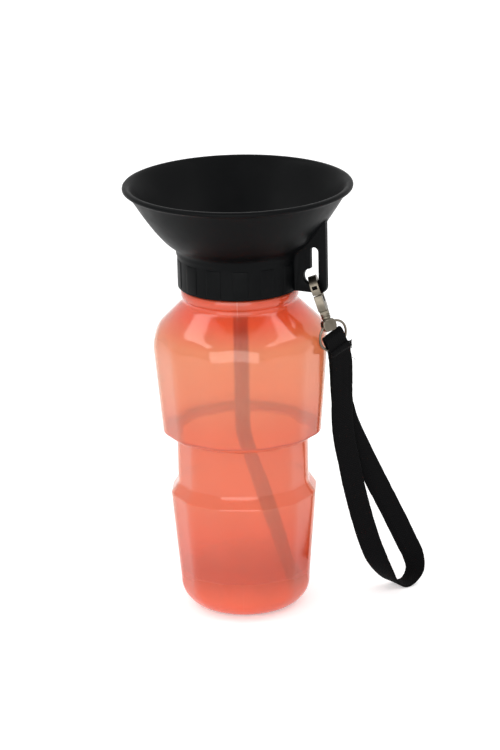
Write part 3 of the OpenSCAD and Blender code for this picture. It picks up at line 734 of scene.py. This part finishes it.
class TRAVELBOTTLE_OT_inside(bpy.types.Operator):
    """Models the bent dip tube and finishes the seal in the mouth"""
    bl_idname = "travelbottle.inside"
    bl_label = "Tube and seal"

    def execute(self, context):
        colours = context.scene.travelbottle_colours
        radius, top, foot, wall = 4, 196.53, 8, 1
        # two straight runs that would meet at this height, joined by a bend
        meet_z, bend_r, lean, heading = 97, 40, 17, 25
        rings = 6
        bend_run = bend_r * math.tan(math.radians(lean / 2))
        bend_top = meet_z + bend_run
        begin()
        bpy.ops.mesh.primitive_circle_add(vertices=32, radius=radius * MM,
                                          location=(0, 0, top * MM))
        tube = bpy.context.object
        tube.name = tube.data.name = "tube"
        bpy.ops.object.transform_apply(location=True, rotation=False, scale=False)
        edit(tube)
        for i in range(rings):
            extrude((0, 0, (bend_top - top) / rings * MM))
        bpy.ops.mesh.spin(steps=10, angle=math.radians(lean), axis=(0, 1, 0),
                          center=(bend_r * MM, 0, bend_top * MM))
        slant = (meet_z - foot) / math.cos(math.radians(lean)) - bend_run
        way = Vector((math.sin(math.radians(lean)), 0, -math.cos(math.radians(lean))))
        for i in range(rings):
            extrude(way * slant / rings * MM)
        close_up()
        take_all()
        turn(heading, "Z")
        modify(tube, "SOLIDIFY", thickness=wall * MM, offset=-1)
        soften(tube, 0.15, 2, 60)
        settle(tube, "bowl", tube_pe_painted_shade(colours), ("dip_tube",))
        cad_finish("mouth_gasket", silicone_rubber(colours))
        return {"FINISHED"}


def cad_finish(node, material):
    """Gives a kept CAD node its material."""
    nodes[node].data.materials.clear()
    nodes[node].data.materials.append(material)


# ---- the snap hook ----

HOOK_TOP = Vector((42.3, 0, 187.43))
HOOK_LEAN = math.radians(19.5)      # its length leans out from the bottle
HOOK_TURN = math.radians(21)        # and it is turned about that length
HOOK_T = 4.4
# from the hook's own frame (-Z down its length) to its place in the keyhole
HOOK = (Matrix.Translation(HOOK_TOP * MM) @ Matrix.Rotation(-HOOK_LEAN, 4, "Y")
        @ Matrix.Rotation(HOOK_TURN, 4, "Z"))


def hook_plate(name, outline, thickness):
    """A plate between the hook's flat faces, its outline drawn as (across, up)."""
    return plate(name, outline, thickness, across=(0, 1, 0), up=(0, 0, 1))


class TRAVELBOTTLE_OT_hook(bpy.types.Operator):
    """Models the snap hook's body and gate, and finishes its pin and spring"""
    bl_idname = "travelbottle.hook"
    bl_label = "Snap hook"

    def cast_body(self):
        """Bend, nose and spine as one casting, with its lug and swivel barrel; its pin hole is cut
        afterwards, in execute.
        """
        outline = (arc(0, -5.1, 6.3, 180, 0, 28)
                   + [(6.3, -9), (6.3, -13), (6.25, -16), (5.8, -17.2), (4.4, -18.4),
                      (2.5, -19.9), (-2.5, -19.9), (-2.5, -18.6), (-3.2, -18.2), (-4.65, -17.9),
                      (-4.65, -16), (-4.6, -14.6), (-4.3, -13.4), (-3.4, -13.2)]
                   + arc(0, -10.1, 3.9, -112, 0, 10) + arc(0, -5.1, 3.9, 0, 180, 18)
                   + [(-3.9, -8.2), (-4.1, -8.6), (-6.1, -8.6), (-6.3, -8.3)])
        body = hook_plate("hook", outline, HOOK_T)
        # the gate's cheeks run in a step cut each side of the lug
        for left in (-6.48, 1.48):
            cheek = plate("cheek", [(0, 0), (5, 0), (5, 4.5), (0, 4.5)], 6)
            put(cheek, Matrix.Translation(Vector((left, -4.0, -18.25)) * MM))
            combine(body, cheek, "DIFFERENCE")
        soften(body, 0.6, 4, 40)
        # the slot through the nose
        slot = hook_plate("nose_slot", [(-7.5, -5.7), (-3.0, -5.7), (-3.0, -3.7), (-7.5, -3.7)],
                          2.8)
        combine(body, slot, "DIFFERENCE")
        barrel = lathe("barrel", [
            (0, -17.4), (2.2, -17.4), (2.45, -18.0), (2.5, -18.6), (2.5, -21.0), (2.42, -21.15),
            (2.25, -21.25), (2.25, -21.45), (2.42, -21.55), (2.5, -21.7), (2.5, -22.4),
            (2.3, -22.75), (1.3, -22.78), (1.26, -20.6), (1.26, -18.75), (1.75, -18.6),
            (1.75, -17.9), (0, -17.8)], 40)
        combine(body, barrel, "UNION")
        return body

    def folded_gate(self):
        """The sprung gate: sheet folded into two cheeks, a shade proud where the thumb goes."""
        outline = [(-5.0, -9.1), (-4.75, -9.3), (-4.7, -10.0), (-3.2, -10.2), (-2.95, -10.6),
                   (-2.95, -16.6), (-3.6, -17.7), (-5.8, -17.7), (-6.3, -17.1), (-6.3, -14.3),
                   (-6.33, -14.1), (-6.33, -13.4), (-6.3, -13.2), (-6.3, -9.5),
                   (-6.1, -9.15), (-5.9, -9.1)]
        gate = hook_plate("gate", outline, HOOK_T)
        soften(gate, 0.3, 3, 40)
        slot = hook_plate("slot", [(-5.7, -20), (0, -20), (0, -10.3), (-5.7, -10.3)], 3.02)
        combine(gate, slot, "DIFFERENCE")
        return gate

    def execute(self, context):
        colours = context.scene.travelbottle_colours
        nickel = nickel_plate(colours, "nickel-plated die-cast zinc", "655F54")
        pin = [(x, -3.9, -15.7) for x in (-5, 5)]
        for piece, radius, body, node in ((self.cast_body(), 0.47, "hook", "hook_body"),
                                          (self.folded_gate(), 0.52, "gate", "hook_gate")):
            combine(piece, rod("pin_hole", radius, *pin), "DIFFERENCE")
            put(piece, HOOK)
            settle(piece, body, nickel, (node,))
        cad_finish("gate_pin", nickel_plate(colours, "drawn steel pin", "77746A"))
        cad_finish("gate_spring", nickel_plate(colours, "hard-drawn spring wire", "6B6961"))
        return {"FINISHED"}


RING_R = 8.45
RING_WIRE = 1.3
RING_DROP = 25.49           # from the hook's top down its length to the ring's wire
EYE_TURN = 29.8             # degrees from the hook's flat faces to the eye's
# directions of the ring's plane, and its middle, from where it hangs in the eye's slot
RING_ACROSS = Vector((0.5, 0.749, 0.435)).normalized()
RING_DOWN = Vector((0.13, 0.432, -0.892))
RING_DOWN = (RING_DOWN - RING_DOWN.dot(RING_ACROSS) * RING_ACROSS).normalized()
RING_FRONT = RING_DOWN.cross(RING_ACROSS)
RING_TOP = HOOK_TOP + RING_DROP * Vector((math.sin(HOOK_LEAN), 0, -math.cos(HOOK_LEAN)))
RING_MIDDLE = RING_TOP + RING_R * RING_DOWN


class TRAVELBOTTLE_OT_ring(bpy.types.Operator):
    """Models the swivel eye and the ring that the strap hangs from"""
    bl_idname = "travelbottle.ring"
    bl_label = "Swivel eye and ring"

    def execute(self, context):
        colours = context.scene.travelbottle_colours
        nickel = nickel_plate(colours, "nickel-plated swivel", "655F54")
        side = [(2.6, -23.4), (3.1, -23.9), (3.6, -24.9), (3.85, -26.3), (3.8, -27.6),
                (3.3, -28.8), (2.4, -29.6)]
        eye = plate("eye", [(-2.6, -23.4)] + side + [(-x, z) for x, z in side[:0:-1]], 4.2)
        slot = hook_plate("eye_slot", [(-1.2, -27.75), (1.2, -27.75), (1.2, -24.7), (0.8, -24.15),
                                       (-0.8, -24.15), (-1.2, -24.7)], 9)
        soften(eye, 0.5, 3, 40)
        combine(eye, slot, "DIFFERENCE")
        edit(eye)
        turn(EYE_TURN, "Z")
        stem = lathe("stem", [(0, -24.0), (2.0, -24.0), (2.25, -23.9), (2.3, -23.6), (2.3, -23.2),
                              (2.1, -22.97), (1.2, -22.95), (1.2, -18.95), (1.6, -18.85),
                              (1.6, -18.1), (1.4, -17.95), (0, -17.95)], 32)
        combine(eye, stem, "UNION")
        put(eye, HOOK)
        settle(eye, "eye", nickel, ("swivel_eye",))

        begin()
        bpy.ops.mesh.primitive_torus_add(
            major_radius=RING_R * MM, minor_radius=RING_WIRE / 2 * MM, major_segments=96,
            minor_segments=16)
        ring = bpy.context.object
        ring.name = ring.data.name = "ring"
        # the wire's cut ends, butted together low on the ring: a shallow groove round the wire
        groove = 0.86
        edit(ring)
        pick("VERT", lambda v: abs(v.co.x) < 0.02 * MM and v.co.y < 0)
        bpy.ops.transform.resize(value=(1, groove, groove), center_override=(0, -RING_R * MM, 0))
        close_up()
        axes = Matrix((RING_ACROSS, -RING_DOWN, RING_FRONT)).transposed()
        put(ring, Matrix.Translation(RING_MIDDLE * MM) @ axes.to_4x4())
        settle(ring, "ring",
               nickel_plate(colours, "nickel-plated steel wire", "6C655A"), ("strap_ring",))
        return {"FINISHED"}


# ---- the wrist strap ----

FOLD_GAP = 1.6              # from the wire's middle to the middle of the webbing folded round it
LAYER = 1.35                # from one layer of the sewn end to the next
SELVEDGE = 5.7              # from the webbing's middle to where loose ends leave it
ROUTE_HOME = Vector((51.3, 3.65, 155.7))    # the ring's middle that the route was set out for


def by_ring(front, down):
    """A place near the ring: in front of its plane, and below its middle."""
    return RING_MIDDLE + front * RING_FRONT + down * RING_DOWN


def width_way(compass, rise):
    """Direction of the webbing's width, by compass angle and rise."""
    a, b = math.radians(compass), math.radians(rise)
    return Vector((math.cos(a) * math.cos(b), math.sin(a) * math.cos(b), math.sin(b)))


def hang(x, y, z):
    """A place on the strap, carried to where the ring hangs."""
    return Vector((x + RING_MIDDLE.x - ROUTE_HOME.x, y + RING_MIDDLE.y - ROUTE_HOME.y,
                   z * RING_MIDDLE.z / ROUTE_HOME.z))


def strap_route():
    """The webbing's middle line and its width's direction: down, round the loop, over the ring."""
    loop = [(52.4, 12.4, 126, 45), (51.4, 14.3, 115.5, 43), (50.4, 16.8, 103, 42),
            (50.4, 19.6, 91, 40), (51.3, 22.8, 79, 38), (52.2, 26, 66.5, 36),
            (53.5, 29.4, 54, 34), (55.4, 32.4, 41.5, 32), (57.7, 35.7, 29, 28),
            (60, 38.8, 19.5, 18), (62.5, 42.4, 11.5, 0), (65.2, 46.4, 4.7, -20),
            (69, 51, 0.9, -36), (72.2, 55.4, 1.9, -34), (74.5, 58.8, 8, -10),
            (73.8, 57.8, 16.5, 18), (71.6, 54.8, 24.5, 30), (67.9, 49.9, 37.5, 34),
            (64.3, 44.4, 50.5, 36), (60.6, 38.8, 63.5, 37), (57.5, 33, 76, 39),
            (54.3, 27.2, 89, 41), (51.6, 21.5, 102, 43), (50.4, 17, 115, 44),
            (50.7, 14.5, 126, 45)]
    front = FOLD_GAP + LAYER
    rows = [(by_ring(front, 6.8), RING_ACROSS), (by_ring(front, 9.4), RING_ACROSS),
            (hang(53.6, 8.5, 145.2), width_way(52, 14)), (hang(53.4, 10.6, 137), width_way(48, 4))]
    rows += [(hang(x, y, z), width_way(a, 0)) for x, y, z, a in loop]
    rows += [(hang(51.2, 12.2, 137), width_way(48, 4)), (hang(51.2, 9.9, 145.4), width_way(52, 14)),
             (by_ring(-FOLD_GAP, 9.4), RING_ACROSS), (by_ring(-FOLD_GAP, 5), RING_ACROSS)]
    rows += [(by_ring(front, down), RING_ACROSS)
             for front, down in arc(0, 0, FOLD_GAP, 180, 360, 6)]
    rows += [(by_ring(FOLD_GAP, 5), RING_ACROSS), (by_ring(FOLD_GAP, 9.4), RING_ACROSS),
             (hang(52.45, 9.2, 145.3), width_way(52, 14)),
             (hang(52.35, 11.4, 137), width_way(48, 4))]
    return rows


def smooth(rows, parts):
    """A smooth curve through rows of places, with so many parts between two of them."""
    out, last = [], len(rows) - 1
    for i in range(last):
        a, b = rows[max(0, i - 1)], rows[i]
        c, d = rows[i + 1], rows[min(last, i + 2)]
        for j in range(parts):
            t = j / parts
            out.append(b + t / 2 * ((c - a) + t * ((2 * a - 5 * b + 4 * c - d)
                                                   + t * (3 * (b - c) + d - a))))
    return out + [rows[last]]


class TRAVELBOTTLE_OT_strap(bpy.types.Operator):
    """Weaves the wrist strap along its route and sews its end down"""
    bl_idname = "travelbottle.strap"
    bl_label = "Wrist strap"

    def weave(self, context, rng):
        """The webbing as one closed mesh along its route, with the frames that it follows."""
        rows = strap_route()
        places = smooth([row[0] for row in rows], 6)
        widths = smooth([row[1] for row in rows], 6)
        # the webbing's section: rounded selvedges, a shade thinner than its middle
        top = [(-5.98, 0.0), (-5.9, 0.34), (-5.6, 0.52), (-4.9, 0.56), (-3, 0.6), (-1, 0.6),
               (1, 0.6), (3, 0.6), (4.9, 0.56), (5.6, 0.52), (5.9, 0.34), (5.98, 0.0)]
        section = top + [(x, -y) for x, y in top[-2:0:-1]]
        n, per = len(places), len(section)
        vertices, along, run, frames = [], [], 0.0, []
        for i in range(n):
            t = (places[min(i + 1, n - 1)] - places[max(i - 1, 0)]).normalized()
            w = widths[i] - widths[i].dot(t) * t
            w.normalize()
            f = t.cross(w)
            if i:
                run += (places[i] - places[i - 1]).length
            along.append(run)
            frames.append((places[i], t, w, f))
            # the weft pulls the selvedge in and out, in waves of 3.1 mm and at random
            pull = 1 + 0.006 * math.sin(run * 2 * math.pi / 3.1) + 0.024 * (rng.random() - 0.5)
            vertices += [(places[i] + w * u * pull + f * v) * MM for u, v in section]
        faces = [(i * per + k, i * per + (k + 1) % per, (i + 1) * per + (k + 1) % per,
                  (i + 1) * per + k) for i in range(n - 1) for k in range(per)]
        faces.append(tuple(range(per))[::-1])
        faces.append(tuple((n - 1) * per + k for k in range(per)))
        mesh = bpy.data.meshes.new("strap")
        mesh.from_pydata(vertices, [], faces)
        strap = bpy.data.objects.new("strap", mesh)
        context.collection.objects.link(strap)
        # a map in millimetres, U across and V along
        layer = mesh.uv_layers.new(name="weave")
        girth = [0.0]
        for (ax, ay), (bx, by) in zip(section, section[1:] + section[:1]):
            girth.append(girth[-1] + math.hypot(bx - ax, by - ay))
        for face in mesh.polygons:
            last_strip = face.index < (n - 1) * per and face.index % per == per - 1
            for loop in face.loop_indices:
                i, k = divmod(mesh.loops[loop].vertex_index, per)
                layer.data[loop].uv = (girth[per] if last_strip and k == 0 else girth[k], along[i])
        edit(strap)
        bpy.ops.mesh.normals_make_consistent(inside=False)
        return strap, frames

    def loose_fibres(self, frames, rng):
        """Middle lines of the fibres that have come out of the webbing."""
        ends, tuft, loose_from = 26, 30, 16
        lines = []
        # short ones stick out of the cut end
        top_place, t, w, f = frames[0]
        for i in range(ends):
            across = -SELVEDGE + 2 * SELVEDGE * (i + rng.random() * 0.6) / ends
            start = top_place + w * across + f * (rng.random() - 0.5) * 0.6 + t * 0.4
            length = 0.4 + 0.6 * rng.random()
            lean = w * (rng.random() - 0.4) * 0.6 + f * (rng.random() - 0.2) * 0.6
            lines.append([start, start - t * length * 0.5 + lean * length * 0.3,
                          start - t * length + lean * length])
        # its corner has come undone into a pointed tuft
        corner = top_place + w * SELVEDGE
        tip = corner + w * 2.6 + t * 0.8
        for i in range(tuft):
            spread = w * (rng.random() - 0.5) * 0.3 + f * (rng.random() - 0.5) * 0.7
            start = corner - w * 0.6 * rng.random() + t * (0.3 + 5.2 * i / tuft) + spread * 0.4
            reach = (0.55 + 0.45 * rng.random()) * (1 - 0.4 * i / tuft)
            end = start + (tip - start) * reach + spread * 0.5
            lines.append([start, (start + end) / 2 + t * 0.2, end])
        # and one warp end hangs loose beside it
        place, t, w, f = frames[loose_from]
        start = place + w * SELVEDGE
        lines.append([start + w * out + t * on for out, on in (
            (0, 0), (0.8, 0.5), (1.6, 1.3), (2.2, 2.6), (2.9, 3.3))])
        return lines

    def fray(self, context, lines):
        """Fibres along these lines, 0.26 mm thick so that they show, thinner at the tip."""
        curve = bpy.data.curves.new("strap_fibres", "CURVE")
        curve.dimensions = "3D"
        curve.bevel_depth = 0.13 * MM
        curve.bevel_resolution = 1
        curve.use_fill_caps = True
        for line in lines:
            spline = curve.splines.new("POLY")
            spline.points.add(len(line) - 1)
            for point, place in zip(spline.points, line):
                point.co = (*(place * MM), 1)
            spline.points[-1].radius = 0.5
        fibres = bpy.data.objects.new("strap_fibres", curve)
        context.collection.objects.link(fibres)
        hold(fibres)
        bpy.ops.object.convert(target="MESH")
        fibres = bpy.context.object
        for layer in list(fibres.data.uv_layers):
            fibres.data.uv_layers.remove(layer)
        return fibres

    def execute(self, context):
        colours = context.scene.travelbottle_colours
        rng = random.Random(4)
        strap, frames = self.weave(context, rng)
        fibres = self.fray(context, self.loose_fibres(frames, rng))
        settle(strap, "strap", woven_webbing(colours), ("wrist_strap",), 60)
        settle(fibres, "strap", webbing_fibre(colours), (), 60)
        cad_finish("strap_stitching", twisted_thread(colours))
        return {"FINISHED"}


# ---- floor, light and camera ----

class TRAVELBOTTLE_OT_stage(bpy.types.Operator):
    """Sets up the floor, the soft lamps and the camera"""
    bl_idname = "travelbottle.stage"
    bl_label = "Stage"

    def paper(self):
        """A white floor that keeps the object's shadow."""
        glow, side = 0.36, 12
        begin()
        bpy.ops.mesh.primitive_plane_add(size=side, location=(0, 0, 0))
        floor = bpy.context.object
        floor.name = floor.data.name = "floor"
        paper, tree, shader = new_material("white paper sweep", {
            "Roughness": 0.9, "Specular IOR Level": 0.0, "Base Color": to_linear("F4F4F4"),
            "Emission Color": (1, 1, 1, 1)})
        # the paper's own white fills in what the shade of the lamps leaves
        add_node(tree, "ShaderNodeMath", {0: seen_through(tree), 1: glow}, operation="MULTIPLY",
                 feeds=shader.inputs["Emission Strength"])
        floor.data.materials.append(paper)

    def room(self, context):
        """A white room, darker on the side that the front of the bottle faces."""
        dark, front = 0.38, (0.42, -0.9, 0.1)
        world = bpy.data.worlds.new("white room")
        context.scene.world = world
        world.use_nodes = True
        tree = world.node_tree
        background = tree.nodes["Background"]
        way = add_node(tree, "ShaderNodeTexCoord").outputs["Generated"]
        side = add_node(tree, "ShaderNodeVectorMath", {0: way, 1: front},
                        operation="DOT_PRODUCT").outputs["Value"]
        walls = add_node(tree, "ShaderNodeMapRange", {
            "Value": side, "From Min": -0.1, "From Max": 0.75, "To Min": 1.0, "To Max": dark},
            interpolation_type="SMOOTHSTEP")
        add_node(tree, "ShaderNodeMix", {0: seen_through(tree), 2: walls, 3: 1.0},
                 feeds=background.inputs["Strength"])
        background.inputs["Color"].default_value = (1, 1, 1, 1)

    def lamp(self, name, place, size, power):
        """A soft box that faces the middle of the bottle."""
        begin()
        place, aim = Vector(place), Vector((0, 0, 0.12))
        bpy.ops.object.light_add(type="AREA", location=place,
                                 rotation=(place - aim).to_track_quat("Z", "Y").to_euler())
        light = bpy.context.object
        light.name = light.data.name = name
        light.data.shape = "RECTANGLE"
        light.data.size, light.data.size_y = size
        light.data.energy = power

    def camera(self, context):
        """A long lens to the front right, a little above the bottle and a little rolled."""
        distance, aim = 1.9259, Vector((0, 0, 0.128886))
        around, rise, roll = (math.radians(a) for a in (25, 17.96, 1.28))
        back = Vector((math.sin(around) * math.cos(rise), -math.cos(around) * math.cos(rise),
                       math.sin(rise)))
        right = Vector((math.cos(around), math.sin(around), 0))
        up = back.cross(right)
        x = right * math.cos(roll) - up * math.sin(roll)
        y = right * math.sin(roll) + up * math.cos(roll)
        begin()
        bpy.ops.object.camera_add()
        camera = bpy.context.object
        camera.name = "camera"
        camera.matrix_world = (Matrix.Translation(aim + distance * back)
                               @ Matrix((x, y, back)).transposed().to_4x4())
        camera.data.lens = 172.8
        camera.data.sensor_width = 36
        camera.data.shift_x = 0.01106
        context.scene.camera = camera

    def execute(self, context):
        self.paper()
        self.room(context)
        for name, place, size, power in (("key", (-1.0, -0.51, 1.46), (1.5, 0.4), 5.5),
                                         ("fill", (1.08, 0.33, 1.46), (1.5, 0.4), 4),
                                         ("front", (0.35, -1.7, 0.45), (2.4, 1.8), 33)):
            self.lamp(name, place, size, power)
        self.camera(context)
        context.scene.view_settings.view_transform = "Standard"
        return {"FINISHED"}


class TRAVELBOTTLE_PT_panel(bpy.types.Panel):
    """Lists the bottle's colours, sizes and steps"""
    bl_idname = "TRAVELBOTTLE_PT_panel"
    bl_label = "Travel bottle"
    bl_space_type = "VIEW_3D"
    bl_region_type = "UI"
    bl_category = "Travel bottle"

    def draw(self, context):
        layout = self.layout
        for group in (context.scene.travelbottle_colours, context.scene.travelbottle_sizes):
            for name in group.bl_rna.properties.keys():
                if name not in ("rna_type", "name"):
                    layout.prop(group, name)
        for operator in OPERATORS:
            layout.operator(operator.bl_idname)


OPERATORS = (TRAVELBOTTLE_OT_stage, TRAVELBOTTLE_OT_bottle, TRAVELBOTTLE_OT_bowl,
             TRAVELBOTTLE_OT_inside, TRAVELBOTTLE_OT_hook, TRAVELBOTTLE_OT_ring,
             TRAVELBOTTLE_OT_strap)
CLASSES = (TravelBottleColours, TravelBottleSizes) + OPERATORS + (TRAVELBOTTLE_PT_panel,)


def register():
    """Adds the classes and the scene's settings."""
    for cls in CLASSES:
        bpy.utils.register_class(cls)
    bpy.types.Scene.travelbottle_colours = PointerProperty(type=TravelBottleColours)
    bpy.types.Scene.travelbottle_sizes = PointerProperty(type=TravelBottleSizes)


def unregister():
    """Takes them away again."""
    del bpy.types.Scene.travelbottle_colours
    del bpy.types.Scene.travelbottle_sizes
    for cls in reversed(CLASSES):
        bpy.utils.unregister_class(cls)


def main():
    """Registers the add-on and runs its steps in order."""
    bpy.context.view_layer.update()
    register()
    bpy.ops.travelbottle.stage()
    bpy.ops.travelbottle.bottle()
    bpy.ops.travelbottle.bowl()
    bpy.ops.travelbottle.inside()
    bpy.ops.travelbottle.hook()
    bpy.ops.travelbottle.ring()
    bpy.ops.travelbottle.strap()
    begin()


if __name__ == "__main__":
    main()
